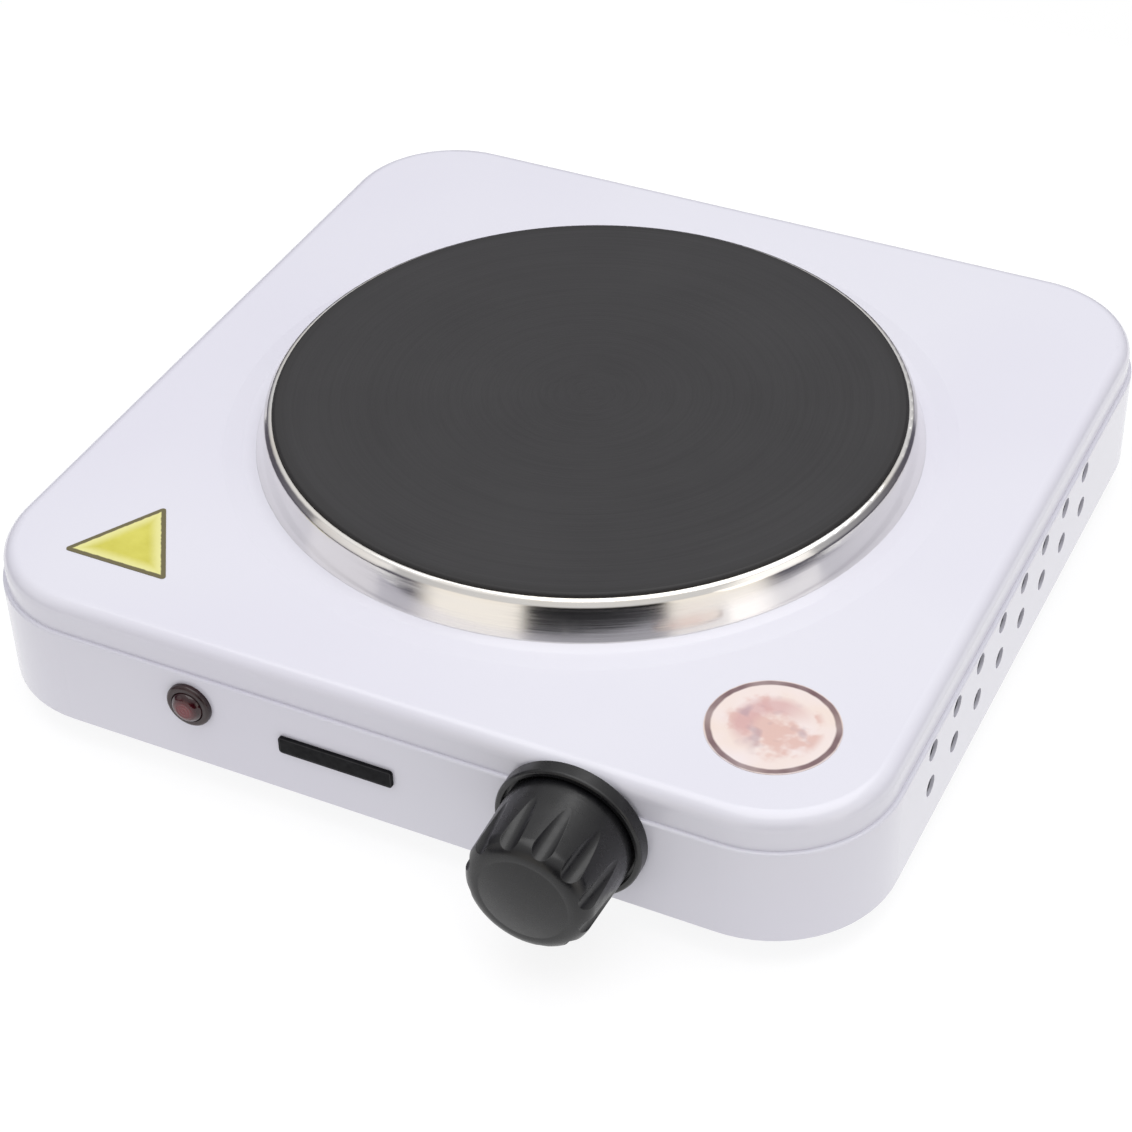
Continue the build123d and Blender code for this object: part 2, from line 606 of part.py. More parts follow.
def adjuster_sleeve():
    """Guided block that the turning thread drives towards the blades."""
    half_width = LEG_HALF_GAP - 0.1
    sleeve = block((-half_width, half_width), (-SLEEVE_HALF_HEIGHT, SLEEVE_HALF_HEIGHT),
                   (SLEEVE_BACK, SLEEVE_FRONT))
    sleeve = chamfer(sleeve.edges().filter_by(Axis.Z), 0.6)
    sleeve -= upright(SHAFT_THREAD_RADIUS + 0.05, SLEEVE_BACK + SLEEVE_WEB, SLEEVE_FRONT + 1)
    return CONTROL * (sleeve - upright(TIP_RADIUS, SLEEVE_BACK - 1, SLEEVE_BACK + 1))


def adjuster_tip():
    nose = SLEEVE_BACK - 2.2
    return CONTROL * turned([(0, SLEEVE_BACK + 1), (TIP_RADIUS, SLEEVE_BACK + 1), (TIP_RADIUS, nose),
                             (0.5, TIP_END), (0, TIP_END)])


def blade(u_range, front, sheet, half_width):
    """Flat spring strip across the shaft's line, its front face at the given depth."""
    return block(u_range, (-half_width, half_width), (front - sheet, front))


def stack_hole(piece):
    return piece - upright(2.6, -60, 0, STACK_U)


def switch_blade():
    return CONTROL * blade((FLEX_U, BLADE_END_U), BLADE_FRONT, BLADE_SHEET, BLADE_HALF_WIDTH)


def moving_contact():
    back = BLADE_FRONT - BLADE_SHEET
    return CONTROL * upright(CONTACT_RADIUS, back - CONTACT_HEIGHT, back, CONTACT_U)


def blade_root():
    root = blade((STACK_U - 6, FLEX_U - 0.25), BLADE_FRONT, BLADE_SHEET, BLADE_HALF_WIDTH)
    root += blade((STACK_U - TAB_LENGTH, STACK_U), BLADE_FRONT, BLADE_SHEET, TAB_HALF_WIDTH)
    return CONTROL * stack_hole(root)


def fixed_blade():
    strip = blade((STACK_U - 6, BLADE_END_U), FIXED_BLADE_FRONT, BLADE_SHEET, BLADE_HALF_WIDTH)
    strip += blade((STACK_U - TAB_LENGTH, STACK_U), FIXED_BLADE_FRONT, BLADE_SHEET, TAB_HALF_WIDTH)
    return CONTROL * stack_hole(strip)


def fixed_contact():
    face = FIXED_BLADE_FRONT
    return CONTROL * upright(CONTACT_RADIUS, face, face + CONTACT_HEIGHT, CONTACT_U)


def bimetal_blade():
    return CONTROL * stack_hole(blade((STACK_U - 5, 5), BIMETAL_FRONT, BIMETAL_SHEET, 4.5))


def bimetal_pin():
    pin = upright(1.2, BIMETAL_FRONT, FIXED_BLADE_FRONT - BLADE_SHEET - 0.25, -7.0)
    return CONTROL * chamfer(pin.edges().group_by(Axis.Z)[-1], 0.3)


def stack_spacers():
    """Ceramic rings between the blades, from the bracket backwards."""
    backs = (BLADE_FRONT, FIXED_BLADE_FRONT, BIMETAL_FRONT, STACK_END)
    fronts = (STACK_PLATE_BACK, BLADE_FRONT - BLADE_SHEET, FIXED_BLADE_FRONT - BLADE_SHEET,
              BIMETAL_FRONT - BIMETAL_SHEET)
    rings = []
    for back, front in zip(backs, fronts):
        ring = upright(SPACER_RADIUS, back, front) - upright(RIVET_RADIUS, -60, 0)
        rings.append(CONTROL * Pos(STACK_U, 0, 0) * ring)
    return rings


def stack_rivet():
    front = STACK_PLATE_BACK + BRACKET_SHEET
    rivet = upright(RIVET_RADIUS, STACK_END, front)
    rivet += upright(3.2, front, front + 1.2) + upright(3.2, STACK_END - 1.2, STACK_END)
    return CONTROL * Pos(STACK_U, 0, 0) * rivet


# ---- pilot lamp, badge and stickers ----
def lamp_holder():
    bore = LENS_RADIUS
    outer = LAMP_TUBE_RADIUS
    inside = LAMP_TUBE_BACK + 1
    holder = turned([(bore, LENS_BACK), (bore - 0.8, LENS_BACK), (bore - 0.8, inside), (0, inside),
                     (0, LAMP_TUBE_BACK), (outer, LAMP_TUBE_BACK), (outer, 0), (LAMP_RADIUS, 0),
                     (LAMP_RADIUS, LAMP_RIM), (bore, LAMP_RIM)], [((LAMP_RADIUS, LAMP_RIM), 0.8)])
    for side in (-1, 1):
        holder -= upright(LAMP_LEAD_RADIUS, LAMP_TUBE_BACK - 1, inside + 1, side * LAMP_LEAD_U)
    return LAMP * holder


def lamp_lens():
    """Domed cap of red plastic, hollow behind."""
    edge = LENS_RADIUS - 0.05
    under = LENS_FRONT - 1.8
    cap = turned([(0, LENS_FRONT), (edge, LENS_FRONT), (edge, LENS_BACK), (edge - 1, LENS_BACK),
                  (edge - 1, under), (0, under)], [((edge, LENS_FRONT), 2.2)])
    return LAMP * cap


def neon_bulb():
    """Small glow tube inside the holder."""
    bulb = fillet(upright(BULB_RADIUS, *BULB_REACH).edges(), 1.0)
    return LAMP * bulb


def lamp_clip():
    clip = upright(LAMP_CLIP_RADIUS, -2 * SHEET, -SHEET) - upright(LAMP_TUBE_RADIUS, -5, 0)
    notch = block((LAMP_TUBE_RADIUS - 1, LAMP_TUBE_RADIUS + 1.2), (-0.8, 0.8), (-5, 0))
    return LAMP * (clip - [Rot(0, 0, 90 * index) * notch for index in range(4)])


def name_badge():
    middle = (sum(BADGE_X) / 2, sum(BADGE_Z) / 2)
    outline = RectangleRounded(BADGE_X[1] - BADGE_X[0], BADGE_Z[1] - BADGE_Z[0], BADGE_CORNER)
    return front_plane(*middle) * extrude(outline, BADGE_SHEET)


def triangle_label():
    """Three-cornered sticker on the front left of the top face."""
    outline = make_face(Polyline(*TRIANGLE_CORNERS, close=True))
    outline = fillet(outline.vertices(), 0.8)
    return Pos(0, 0, SHELL_TOP) * extrude(outline, LABEL_SHEET)


def round_label():
    return upright(ROUND_LABEL_RADIUS, SHELL_TOP, SHELL_TOP + LABEL_SHEET, *ROUND_LABEL_SPOT)


# ---- mains inlet ----
def cord_gland():
    neck_start, neck_end = GLAND_NECK
    thread = GLAND_THREAD_RADIUS
    flange = GLAND_FLANGE_RADIUS
    gland = turned([(GLAND_ENTRY, GLAND_TAIL), (thread, GLAND_TAIL), (thread, 0), (flange, 0), (flange, 2.4),
                    (6.4, 3.2), (6.0, neck_end), (GLAND_BORE, neck_end), (GLAND_BORE, neck_start),
                    (GLAND_ENTRY, neck_start)], [((flange, 2.4), 0.8)])
    return GLAND * gland


def gland_nut():
    return GLAND * hex_nut(GLAND_FLATS, GLAND_THREAD_RADIUS, -SHEET - GLAND_NUT, -SHEET)


def base_screw_spots():
    """Two screws between the poles of the mains block, and the earth screw."""
    return [(GLAND_X - POLE_PITCH / 2, BLOCK_Y), (GLAND_X + POLE_PITCH / 2, BLOCK_Y), (EARTH_X, EARTH_Y)]


def base_screws():
    head_radius, head_height = BASE_SCREW_HEAD
    low = FOOT_HEIGHT - head_height
    upwards = fillet(upright(head_radius, low, FOOT_HEIGHT).edges().group_by(Axis.Z)[0], 0.6)
    upwards += upright(BASE_SCREW_CORE, FOOT_HEIGHT, FOOT_HEIGHT + BASE_SCREW_GRIP)
    tag_top = FLOOR_TOP + TAG_SHEET
    head_top = tag_top + head_height
    downwards = fillet(upright(head_radius, tag_top, head_top).edges().group_by(Axis.Z)[-1], 0.6)
    downwards += upright(BASE_SCREW_CORE, FOOT_HEIGHT - 1.6, tag_top)
    spots = base_screw_spots()
    return [Pos(*spot, 0) * upwards for spot in spots[:2]] + [Pos(*spots[2], 0) * downwards]


def pole_spots():
    return [GLAND_X + step * POLE_PITCH for step in (-1, 0, 1)]


def mains_block():
    length, width, height = BLOCK_SIZE
    outline = Pos(GLAND_X, BLOCK_Y, FLOOR_TOP) * RectangleRounded(length, width, 1.5)
    body = extrude(outline, height)
    for x in pole_spots():
        body -= Pos(x, BLOCK_Y, POLE_Z) * Rot(90, 0, 0) * Cylinder(POLE_BORE, width + 4)
        for side in (-1, 1):
            y = BLOCK_Y + side * CLAMP_SCREW_Y
            body -= upright(CLAMP_SCREW_RADIUS, POLE_Z, FLOOR_TOP + height + 1, x, y)
    for x, y in base_screw_spots()[:2]:
        body -= upright(BASE_SCREW_CORE, 0, FOOT_HEIGHT + BASE_SCREW_GRIP + 0.4, x, y)
    return body


def block_screws():
    """Clamp screws of the mains block, two to a pole."""
    top = FLOOR_TOP + BLOCK_SIZE[2]
    head_radius, head_height = CLAMP_SCREW_HEAD
    head_top = top + head_height
    screw = upright(CLAMP_SCREW_RADIUS, POLE_Z + 1.4, top) + upright(head_radius, top, head_top)
    screw -= block((-3, 3), (-0.3, 0.3), (top + head_height / 2, head_top + 1))
    return [Pos(x, BLOCK_Y + side * CLAMP_SCREW_Y, 0) * screw for x in pole_spots() for side in (-1, 1)]


def earth_tag():
    return Pos(EARTH_X, EARTH_Y, FLOOR_TOP) * Rot(0, 0, -90) * ring_tag(BASE_SCREW_RADIUS, EARTH_RING_RADIUS)


# ---- internal leads ----
BLADE_TAB_X = KNOB_X + STACK_U - TAB_LENGTH
BLADE_TAB_Y = -BODY / 2 - BLADE_FRONT + BLADE_SHEET / 2
FIXED_TAB_Y = -BODY / 2 - FIXED_BLADE_FRONT + BLADE_SHEET / 2
TAG_LEVEL = TAG_TOP - TAG_SHEET + TAG_BARREL_RADIUS
LEFT_POLE, MIDDLE_POLE, RIGHT_POLE = pole_spots()
LEAD_START_Y = BLOCK_Y - 3
LAMP_LEAD_Y = -BODY / 2 - LAMP_TUBE_BACK - 1


def lead_live():
    return tube([(LEFT_POLE, LEAD_START_Y, POLE_Z), (LEFT_POLE, 50, POLE_Z), (-47, 32, 10.2),
                 (-30, 2, 10.4), (-15, -30, 10.2), (-15, -58, 14), (-14, FIXED_TAB_Y, KNOB_Z),
                 (BLADE_TAB_X, FIXED_TAB_Y, KNOB_Z)], LEAD_RADIUS)


def lead_switched():
    return tube([(9.2, COIL_START, TAG_LEVEL), (22, COIL_START, TAG_LEVEL), (28, 10, 20), (20, -30, 16),
                 (-4, -62, 15), (-8, BLADE_TAB_Y, 20), (-2, BLADE_TAB_Y, KNOB_Z),
                 (BLADE_TAB_X, BLADE_TAB_Y, KNOB_Z)], LEAD_RADIUS)


def lead_neutral():
    start_x = MIDDLE_POLE + 1.1
    return tube([(start_x, LEAD_START_Y, POLE_Z), (start_x, 48, POLE_Z), (-36, 40, 19),
                 (-24, COIL_END, TAG_LEVEL), (-9.2, COIL_END, TAG_LEVEL)], LEAD_RADIUS)


def lead_earth():
    tag_z = FLOOR_TOP + TAG_BARREL_RADIUS
    barrel_y = EARTH_Y - 9.2
    return tube([(RIGHT_POLE, LEAD_START_Y, POLE_Z), (RIGHT_POLE, 52, POLE_Z), (-26, 44, 11.5),
                 (EARTH_X, 58, 10), (EARTH_X, 70, tag_z), (EARTH_X, barrel_y, tag_z)], LEAD_RADIUS)


def lamp_leads():
    lamp_left = LAMP_X - LAMP_LEAD_U
    lamp_right = LAMP_X + LAMP_LEAD_U
    start_x = MIDDLE_POLE - 1.2
    tab_x = BLADE_TAB_X + 4
    neutral = [(start_x, LEAD_START_Y, POLE_Z), (start_x, 46, 16), (-54, 22, 17), (-62, -30, 13),
               (-60, -66, 15), (lamp_left, -82, LAMP_Z), (lamp_left, LAMP_LEAD_Y, LAMP_Z)]
    live = [(lamp_right, LAMP_LEAD_Y, LAMP_Z), (lamp_right, -84, LAMP_Z), (-32, -74, 15), (0, -74, 12.5),
            (tab_x, BLADE_TAB_Y, 14), (tab_x, BLADE_TAB_Y, KNOB_Z - 3.2)]
    return [tube(neutral, LAMP_LEAD_RADIUS), tube(live, LAMP_LEAD_RADIUS)]


NODES = {
    "housing": housing, "base_plate": base_plate, "corner_brackets": corner_brackets,
    "foot_screws": foot_screws, "foot_nuts": foot_nuts,
    "hotplate": hotplate, "trim_ring": trim_ring, "heating_coil": heating_coil,
    "insulation_fill": insulation_fill, "element_cover": element_cover,
    "terminal_insulator": terminal_insulator, "terminal_pins": lambda: pin_cylinders(PIN_RADIUS),
    "terminal_nuts": terminal_nuts, "element_tags": element_tags,
    "centre_stud": centre_stud, "stud_nuts": stud_nuts, "stud_washer": stud_washer,
    "mounting_bridge": mounting_bridge, "heat_shield": heat_shield,
    "knob": knob, "knob_spring": knob_spring, "knob_bezel": knob_bezel, "control_shaft": control_shaft,
    "shaft_clip": shaft_clip, "shaft_bush": shaft_bush, "bush_nut": bush_nut,
    "control_bracket": control_bracket, "adjuster_sleeve": adjuster_sleeve, "adjuster_tip": adjuster_tip,
    "switch_blade": switch_blade, "moving_contact": moving_contact, "blade_root": blade_root,
    "fixed_blade": fixed_blade, "fixed_contact": fixed_contact, "bimetal_blade": bimetal_blade,
    "bimetal_pin": bimetal_pin, "stack_spacers": stack_spacers, "stack_rivet": stack_rivet,
    "lamp_holder": lamp_holder, "lamp_lens": lamp_lens, "lamp_clip": lamp_clip, "neon_bulb": neon_bulb,
    "name_badge": name_badge, "triangle_label": triangle_label, "round_label": round_label,
    "cord_gland": cord_gland, "gland_nut": gland_nut, "mains_block": mains_block,
    "block_screws": block_screws, "base_screws": base_screws, "earth_tag": earth_tag,
    "lead_live": lead_live, "lead_switched": lead_switched, "lead_neutral": lead_neutral,
    "lead_earth": lead_earth, "lamp_leads": lamp_leads,
}
FEET = {"foot_rear_right": (1, 1), "foot_front_right": (1, -1), "foot_rear_left": (-1, 1),
        "foot_front_left": (-1, -1)}

os.makedirs("parts", exist_ok=True)
for name, make in NODES.items():
    shape = make()
    if isinstance(shape, list):
        shape = Compound(children=[piece.solid() for piece in shape])
    export_step(shape, f"parts/{name}.step")
for name, (x_side, y_side) in FEET.items():
    export_step(Pos(x_side * FOOT_SPREAD, y_side * FOOT_SPREAD, 0) * foot(), f"parts/{name}.step")
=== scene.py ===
import bpy
import json
from math import cos, radians, sin, tau
from mathutils import Matrix, Vector


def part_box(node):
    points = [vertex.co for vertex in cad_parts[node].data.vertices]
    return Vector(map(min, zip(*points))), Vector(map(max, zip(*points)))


# Looks of the single electric hot plate. Metres, +Z up, the front face towards -Y.
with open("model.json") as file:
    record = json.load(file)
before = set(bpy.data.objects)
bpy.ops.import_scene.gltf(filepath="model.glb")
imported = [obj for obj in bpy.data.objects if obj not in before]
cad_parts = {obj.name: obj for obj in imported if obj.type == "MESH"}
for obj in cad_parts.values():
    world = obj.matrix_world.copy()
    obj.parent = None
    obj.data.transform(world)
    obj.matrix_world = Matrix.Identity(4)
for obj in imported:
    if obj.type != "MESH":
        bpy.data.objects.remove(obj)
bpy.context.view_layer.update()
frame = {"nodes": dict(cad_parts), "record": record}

MM = 0.001

# ---- camera ----
CAMERA_TURN = 26.67             # degrees round from straight in front, towards +X
CAMERA_RISE = 38.96
CAMERA_ROLL = -1.52
CAMERA_DISTANCE = 0.6764
CAMERA_LENS = 85.5
CAMERA_AIM = (-0.00118, -0.01304)       # the spot at the housing's lower edge that the camera looks at

# ---- studio ----
FLOOR_HALF = 0.32
FLOOR_GLOW = 0.82
HORIZON = (0.10, 0.095, 0.12)
ZENITH = (0.95, 0.95, 0.95)
DARK_CARD = (0.02, 0.02, 0.022)
DARK_FRONT = (0.91, 0.945)      # cosine of the angle from straight behind the camera, outer and inner edge
WARM_CARD = (1.0, 0.95, 0.88)
WARM_FRONT = (0.50, 0.66)       # the same for the bright warm cards on both sides of the dark one
CARDS_TOP = (0.35, 0.55)        # sine of the height at which the cards start to fade, and where they end
LAMP_WARMTH = (1, 0.97, 0.92)
LIGHT_AIM = (0, 0, 0.03)
# name, place, size, watts, colour
LIGHTS = (
    ("overhead", (0.1, 0.1, 1.5), (1.6, 1.6), 12, (1, 1, 1)),
    ("left_side", (-1.4, -0.9, 0.5), (0.9, 0.8), 1.0, LAMP_WARMTH),
    ("right_side", (1.5, -0.2, 0.5), (0.9, 0.8), 1.6, LAMP_WARMTH),
)

# ---- sticker art ----
TRIANGLE_CORNERS = ((-92.4 * MM, -93.9 * MM), (-64.0 * MM, -93.9 * MM), (-78.8 * MM, -70.3 * MM))
TRIANGLE_LINE = 1.15 * MM
DISC_LINE = (13.45 * MM, 14.8 * MM)


# ---- plainer materials: darker and lighter tint, then the settings of the function that makes them ----
PLATED_METALS = {
    "fastener_steel": ((0.47, 0.48, 0.50), (0.66, 0.66, 0.68), 0.24, 0.42),
    "coil_sheath": ((0.22, 0.20, 0.19), (0.42, 0.39, 0.36), 0.45, 0.65),
    "spring_brass": ((0.62, 0.45, 0.20), (0.82, 0.65, 0.35), 0.22, 0.40),
    "contact_silver": ((0.72, 0.71, 0.70), (0.86, 0.86, 0.85), 0.2, 0.36),
    "bimetal_strip": ((0.38, 0.36, 0.33), (0.56, 0.54, 0.52), 0.3, 0.5),
}
CERAMICS = {
    "magnesia": ((0.66, 0.63, 0.57), (0.80, 0.78, 0.73), 0.85, 0.15 * MM),
    "white_ceramic": ((0.78, 0.76, 0.70), (0.87, 0.86, 0.82), 0.4, 0.03 * MM),
}
PLASTICS = {
    "knob_plastic": ((0.003, 0.003, 0.004), (0.006, 0.006, 0.007), 0.24, 0.34),
    "lamp_plastic": ((0.012, 0.005, 0.006), (0.03, 0.010, 0.012), 0.16, 0.28),
    "gland_plastic": ((0.02, 0.02, 0.021), (0.04, 0.04, 0.042), 0.45, 0.62),
}
LEAD_COLOURS = {
    "lead_brown": (0.20, 0.075, 0.03),
    "lead_black": (0.02, 0.02, 0.02),
    "lead_blue": (0.03, 0.12, 0.42),
    "lead_green": (0.10, 0.34, 0.07),
    "lead_white": (0.70, 0.70, 0.67),
}


# ---- building materials ----
class Pattern:
    """Node helpers on one node tree; place is the point or direction that patterns are read at."""

    def __init__(self, tree, place):
        self.tree = tree
        self.place = self.add("ShaderNodeTexCoord").outputs[place]

    def add(self, kind, **settings):
        node = self.tree.nodes.new(kind)
        for name, value in settings.items():
            setattr(node, name, value)
        return node

    def feed(self, node, **inputs):
        """Sets or links a node's inputs by name; an underscore stands for a space."""
        for name, value in inputs.items():
            socket = node.inputs[name.replace("_", " ")]
            if isinstance(value, bpy.types.NodeSocket):
                self.tree.links.new(value, socket)
            else:
                socket.default_value = value
        return node

    def math(self, operation, first, second=0.0, clamp=False):
        node = self.add("ShaderNodeMath", operation=operation, use_clamp=clamp)
        for socket, value in zip(node.inputs, (first, second)):
            if isinstance(value, bpy.types.NodeSocket):
                self.tree.links.new(value, socket)
            else:
                socket.default_value = value
        return node.outputs[0]

    def scaled(self, factors, source=None):
        node = self.add("ShaderNodeVectorMath", operation="MULTIPLY")
        self.tree.links.new(source or self.place, node.inputs[0])
        node.inputs[1].default_value = factors
        return node.outputs[0]

    def noise(self, scale, detail=3.0, roughness=0.55, source=None, stretch=None):
        place = self.scaled(stretch, source) if stretch else (source or self.place)
        node = self.feed(self.add("ShaderNodeTexNoise"), Vector=place, Scale=scale, Detail=detail,
                         Roughness=roughness)
        return node.outputs["Fac"]

    def cells(self, scale, output="Color", feature="F1"):
        node = self.feed(self.add("ShaderNodeTexVoronoi", feature=feature), Vector=self.place, Scale=scale)
        return node.outputs[output]

    def axis(self, index, source=None):
        node = self.add("ShaderNodeSeparateXYZ")
        self.tree.links.new(source or self.place, node.inputs[0])
        return node.outputs[index]

    def around(self, centre_x=0.0, centre_y=0.0):
        """Distance from an upright axis, and the angle round it."""
        across = self.math("SUBTRACT", self.axis(0), centre_x)
        along = self.math("SUBTRACT", self.axis(1), centre_y)
        radius = self.math("SQRT", self.math("ADD", self.math("MULTIPLY", across, across),
                                             self.math("MULTIPLY", along, along)))
        return radius, self.math("ARCTAN2", along, across)

    def combined(self, x, y, z):
        node = self.add("ShaderNodeCombineXYZ")
        for socket, value in zip(node.inputs, (x, y, z)):
            if isinstance(value, bpy.types.NodeSocket):
                self.tree.links.new(value, socket)
            else:
                socket.default_value = value
        return node.outputs[0]

    def levels(self, source, low, high, to_low=0.0, to_high=1.0, smooth=False):
        node = self.add("ShaderNodeMapRange", interpolation_type="SMOOTHSTEP" if smooth else "LINEAR")
        self.feed(node, Value=source, From_Min=low, From_Max=high, To_Min=to_low, To_Max=to_high)
        return node.outputs["Result"]

    def band(self, source, low, high, soft):
        """1 between two values and 0 outside them, with soft ends."""
        rise = self.levels(source, low - soft, low + soft)
        fall = self.levels(source, high - soft, high + soft, 1.0, 0.0)
        return self.math("MULTIPLY", rise, fall)

    def mixed(self, factor, first, second):
        node = self.add("ShaderNodeMix", data_type="RGBA")
        for name, value in (("Factor_Float", factor), ("A_Color", first), ("B_Color", second)):
            socket = next(item for item in node.inputs if item.identifier == name)
            if isinstance(value, bpy.types.NodeSocket):
                self.tree.links.new(value, socket)
            elif name == "Factor_Float":
                socket.default_value = value
            else:
                socket.default_value = (*value, 1)
        return next(item for item in node.outputs if item.identifier == "Result_Color")


class Finish(Pattern):
    """A Principled material built up from patterns in the object's own space."""

    def __init__(self, name, colour, roughness, metallic=0.0, **sockets):
        self.material = bpy.data.materials.new(name)
        self.material.use_nodes = True
        super().__init__(self.material.node_tree, "Object")
        self.shader = self.tree.nodes["Principled BSDF"]
        self.shader.inputs["Base Color"].default_value = (*colour, 1)
        self.shader.inputs["Roughness"].default_value = roughness
        self.shader.inputs["Metallic"].default_value = metallic
        for socket, value in sockets.items():
            self.shader.inputs[socket.replace("_", " ")].default_value = value
        self.normal = None

    def soften(self, radius):
        """Rounds sharp edges in the shading by the given radius in metres; the first relief call."""
        node = self.feed(self.add("ShaderNodeBevel", samples=6), Radius=radius)
        self.normal = node.outputs["Normal"]

    def paint(self, colour):
        self.tree.links.new(colour, self.shader.inputs["Base Color"])

    def polish(self, source, low, high, smoothest, roughest):
        roughness = self.levels(source, low, high, smoothest, roughest)
        self.tree.links.new(roughness, self.shader.inputs["Roughness"])

    def bump(self, height, depth, strength=1.0):
        """Relief of the given depth in metres; later calls lie on top of earlier ones."""
        node = self.feed(self.add("ShaderNodeBump"), Height=height, Distance=depth, Strength=strength)
        if self.normal:
            self.tree.links.new(self.normal, node.inputs["Normal"])
        self.normal = node.outputs["Normal"]
        self.tree.links.new(self.normal, self.shader.inputs["Normal"])


# ---- the materials, one for each slot ----
def white_enamel():
    """Glossy stoved enamel with faint orange peel and a cool, slightly uneven tint."""
    finish = Finish("white_enamel", (0.73, 0.72, 0.79), 0.2, Coat_Weight=0.35, Coat_Roughness=0.08)
    tint = finish.levels(finish.noise(9, 2), 0.35, 0.65)
    finish.paint(finish.mixed(tint, (0.67, 0.66, 0.745), (0.695, 0.69, 0.762)))
    finish.polish(finish.noise(18, 1), 0.2, 0.8, 0.18, 0.27)
    finish.bump(finish.noise(150, 1), 0.02 * MM, 0.3)
    return finish.material


def zinc_sheet():
    """Galvanised steel with a frost-flower spangle and rolling marks."""
    finish = Finish("zinc_sheet", (0.6, 0.61, 0.63), 0.4, 1.0)
    spangle = finish.axis(0, finish.cells(150))
    finish.paint(finish.mixed(spangle, (0.50, 0.51, 0.53), (0.70, 0.71, 0.73)))
    finish.polish(finish.math("ADD", spangle, finish.noise(500, 3)), 0.3, 1.6, 0.28, 0.52)
    finish.bump(finish.noise(60, 2, stretch=(1, 30, 30)), 0.01 * MM, 0.5)
    return finish.material


def foot_rubber():
    """Moulded black rubber, dusty in patches."""
    finish = Finish("foot_rubber", (0.03, 0.03, 0.032), 0.8, Specular_IOR_Level=0.3)
    dust = finish.levels(finish.noise(140, 5), 0.5, 0.75)
    finish.paint(finish.mixed(dust, (0.022, 0.022, 0.024), (0.075, 0.073, 0.07)))
    finish.polish(finish.noise(700, 3), 0.3, 0.7, 0.7, 0.92)
    finish.bump(finish.noise(1500, 3), 0.05 * MM, 0.6)
    return finish.material


def plate_iron():
    """Cast iron under black stove coating: turned rings, a fine cast grain and a darker rim."""
    finish = Finish("plate_iron", (0.05, 0.048, 0.05), 0.55, Specular_IOR_Level=0.45)
    radius, angle = finish.around()
    worn = finish.levels(finish.noise(28, 4), 0.3, 0.7)
    body = finish.mixed(worn, (0.018, 0.017, 0.019), (0.023, 0.022, 0.024))
    rim = finish.levels(radius, 73.5 * MM, 77 * MM, smooth=True)
    finish.paint(finish.mixed(rim, body, (0.014, 0.013, 0.014)))
    turning = finish.math("SINE", finish.math("MULTIPLY", radius, tau / (0.9 * MM)))
    rings = finish.noise(1, 2, source=finish.combined(finish.math("MULTIPLY", radius, 900.0), angle, 0.0))
    finish.polish(rings, 0.35, 0.65, 0.44, 0.60)
    finish.bump(turning, 0.012 * MM, 0.35)
    finish.bump(finish.noise(1100, 3), 0.03 * MM, 0.35)
    return finish.material


def ring_stainless():
    """Polished stainless steel, finely brushed round its circumference, straw-tinted by heat at the top."""
    finish = Finish("ring_stainless", (0.86, 0.84, 0.82), 0.12, 1.0)
    finish.soften(0.5 * MM)
    radius, angle = finish.around()
    brushed = finish.combined(finish.math("MULTIPLY", angle, 2.0), finish.math("MULTIPLY", radius, 2500.0),
                              finish.math("MULTIPLY", finish.axis(2), 2500.0))
    strokes = finish.noise(1, 3, source=brushed)
    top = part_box("trim_ring")[1].z
    heat = finish.levels(finish.axis(2), top - 3 * MM, top, smooth=True)
    stained = finish.math("MULTIPLY", heat, finish.levels(finish.noise(35, 3), 0.35, 0.75))
    finish.paint(finish.mixed(stained, (0.87, 0.855, 0.84), (0.84, 0.79, 0.71)))
    finish.polish(strokes, 0.3, 0.7, 0.07, 0.18)
    finish.bump(strokes, 0.004 * MM, 0.4)
    return finish.material


def plated_metal(name, dark, light, smoothest, roughest, grain=900):
    """Plated or bare metal with a mottled tint and fine handling marks."""
    finish = Finish(name, light, roughest, 1.0)
    finish.paint(finish.mixed(finish.levels(finish.noise(grain / 5, 4), 0.3, 0.7), dark, light))
    finish.polish(finish.noise(grain, 4), 0.3, 0.7, smoothest, roughest)
    finish.bump(finish.noise(grain * 2, 2), 0.01 * MM, 0.4)
    return finish.material


def fired_ceramic(name, dark, light, roughness, pits):
    """Ceramic with a slightly uneven colour and small open pits."""
    finish = Finish(name, light, roughness)
    finish.paint(finish.mixed(finish.levels(finish.noise(90, 4), 0.3, 0.7), dark, light))
    finish.polish(finish.noise(300, 3), 0.3, 0.7, roughness - 0.1, roughness + 0.1)
    finish.bump(finish.levels(finish.cells(1400, "Distance"), 0.0, 0.4), pits, 0.6)
    return finish.material


def moulded_plastic(name, dark, light, smoothest, roughest, grain=1400, relief=0.03 * MM):
    """Moulded plastic with the fine spark-eroded grain of its tool and slightly rounded edges."""
    finish = Finish(name, light, roughest)
    finish.soften(0.25 * MM)
    finish.paint(finish.mixed(finish.levels(finish.noise(120, 3), 0.35, 0.65), dark, light))
    finish.polish(finish.noise(grain / 3, 3), 0.3, 0.7, smoothest, roughest)
    finish.bump(finish.noise(grain, 3), relief, 0.5)
    return finish.material


